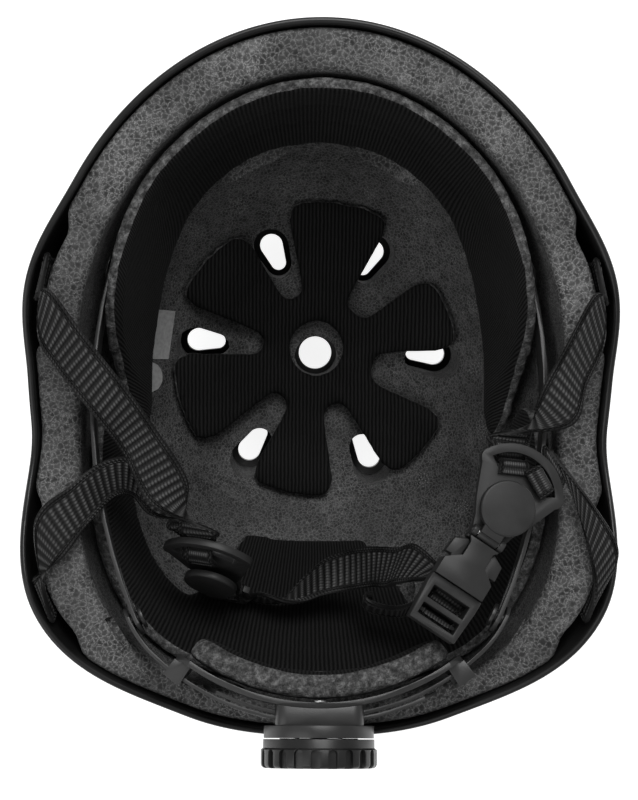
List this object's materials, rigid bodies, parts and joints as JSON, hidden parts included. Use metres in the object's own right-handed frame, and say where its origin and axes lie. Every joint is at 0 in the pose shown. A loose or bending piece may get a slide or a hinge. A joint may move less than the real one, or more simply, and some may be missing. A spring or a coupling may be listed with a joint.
{
  "type": "helmet",
  "caption": "Open helmet lying on its crown, with a vented shell, foam liner, textile pads, a dial-driven fit band and buckled webbing straps.",
  "frame": {"origin": "centre of the bounding box in plan, at the crown on which the helmet lies", "axes": "+X towards the wearer's right, +Y towards the nape and its dial, +Z out of the opening"},
  "size_m": [0.215, 0.2689, 0.1831],
  "materials": {
    "shell": "black moulded shell with a light sheen",
    "foam": "charcoal foam whose bead cells show",
    "textile": "brushed knit over soft foam",
    "hook_tape": "nylon hook tape",
    "plastic": "satin moulded plastic",
    "satin_plastic": "smooth moulded plastic",
    "webbing": "flat woven nylon",
    "steel": "plain steel"
  },
  "bodies": {
    "helmet": {"outer_shell": "shell", "foam_liner": "foam", "crown_pad": "textile", "brow_pad": "textile", "rear_pad": "textile", "pad_hook_dots": "hook_tape", "anchor_sockets": "plastic", "temple_plugs": "plastic", "strap_rivets": "satin_plastic", "rivet_washers": "steel", "webbing_left": "webbing", "webbing_right": "webbing", "divider": "plastic", "divider_cap_pin": "steel", "chin_strap": "webbing", "buckle_female": "plastic", "buckle_cap_pin": "steel"},
    "cradle": {"cradle_frame": "plastic", "cradle_pad": "textile", "cradle_hook_dots": "hook_tape", "dial_housing": "plastic", "dial_cover": "plastic", "housing_screws": "steel", "click_spring": "steel"},
    "dial": {"dial_knob": "satin_plastic", "pinion_shaft": "plastic"},
    "rack_left_side": {"rack_left": "plastic"},
    "rack_right_side": {"rack_right": "plastic"},
    "arm_left_side": {"arm_left": "plastic"},
    "arm_right_side": {"arm_right": "plastic"},
    "male": {"buckle_male": "plastic"},
    "cap_buckle": {"buckle_cap": "plastic"},
    "cap_divider": {"divider_cap": "plastic"}
  },
  "joints": [
    {"name": "dial_turn", "type": "hinge", "parent": "cradle", "child": "dial", "pos_m": [0, 0.11911, 0.161], "axis": [0, -0.9588, -0.284], "range_deg": [-180, 60], "deforming": ["click_spring"]},
    {"name": "cradle_shift", "type": "slide", "parent": "helmet", "child": "cradle", "axis": [0, -0.9588, -0.284], "range_m": [-0.00792, 0.00264]},
    {"name": "rack_left_slide", "type": "hinge", "parent": "cradle", "child": "rack_left_side", "pos_m": [0, 0.03061, 0.13478], "axis": [0, 0.284, -0.9588], "range_deg": [-7.69, 2.56]},
    {"name": "rack_right_slide", "type": "hinge", "parent": "cradle", "child": "rack_right_side", "pos_m": [0, 0.03061, 0.13478], "axis": [0, -0.284, 0.9588], "range_deg": [-7.51, 2.5]},
    {"name": "arm_left_pivot", "type": "hinge", "parent": "helmet", "child": "arm_left_side", "pos_m": [-0.0766, -0.045, 0.11239], "axis": [0, 0.284, -0.9588], "range_deg": [-2.4, 0.8]},
    {"name": "arm_right_pivot", "type": "hinge", "parent": "helmet", "child": "arm_right_side", "pos_m": [0.0766, -0.045, 0.11239], "axis": [0, -0.284, 0.9588], "range_deg": [-2.4, 0.8]},
    {"name": "buckle_release", "type": "slide", "parent": "helmet", "child": "male", "axis": [0.5278, 0.7974, 0.2924], "range_m": [0, 0.025], "deforming": ["buckle_male", "chin_strap"]},
    {"name": "buckle_cap_flip", "type": "hinge", "parent": "helmet", "child": "cap_buckle", "pos_m": [-0.05869, 0.04668, 0.1603], "axis": [-0.8339, 0.5519, 0], "range_deg": [0, 75]},
    {"name": "divider_cap_flip", "type": "hinge", "parent": "helmet", "child": "cap_divider", "pos_m": [0.03752, 0.07684, 0.10912], "axis": [-0.9532, 0.1161, 0.2791], "range_deg": [0, 45]}
  ],
  "couplings": [
    {"joint": "dial_turn", "follows": "cradle_shift", "rad_per_m": 396.83},
    {"joint": "rack_left_slide", "follows": "cradle_shift", "rad_per_m": 16.936},
    {"joint": "rack_right_slide", "follows": "cradle_shift", "rad_per_m": 16.544},
    {"joint": "arm_left_pivot", "follows": "cradle_shift", "rad_per_m": 5.2778},
    {"joint": "arm_right_pivot", "follows": "cradle_shift", "rad_per_m": 5.2778}
  ]
}
